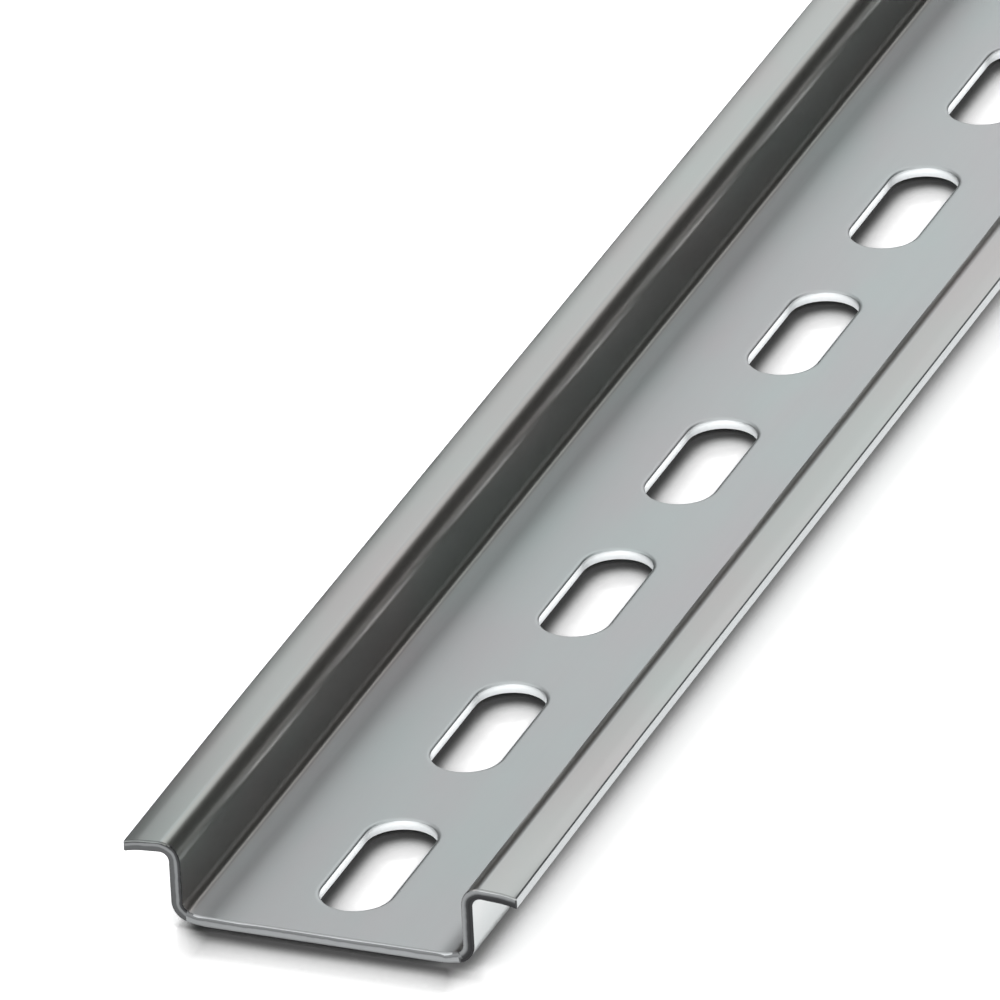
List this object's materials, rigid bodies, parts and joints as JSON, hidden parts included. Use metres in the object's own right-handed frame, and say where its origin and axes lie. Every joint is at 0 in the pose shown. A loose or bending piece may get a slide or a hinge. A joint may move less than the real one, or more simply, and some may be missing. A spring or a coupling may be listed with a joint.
{
  "type": "slotted din rail",
  "caption": "Top-hat mounting rail of bent zinc-plated steel strip, 35 by 7.5 mm in section, with round-ended slots along its base.",
  "frame": {"origin": "middle of the rail's length and width, on the plane that its back lies on", "axes": "+X across the rail, +Y along the rail, +Z from the back of the base to the open side of the channel"},
  "size_m": [0.035, 0.5, 0.0075],
  "materials": {
    "zinc_plated_steel": "satin bright-zinc plating over cold-rolled steel strip"
  },
  "bodies": {
    "root": {"rail": "zinc_plated_steel"}
  },
  "joints": []
}
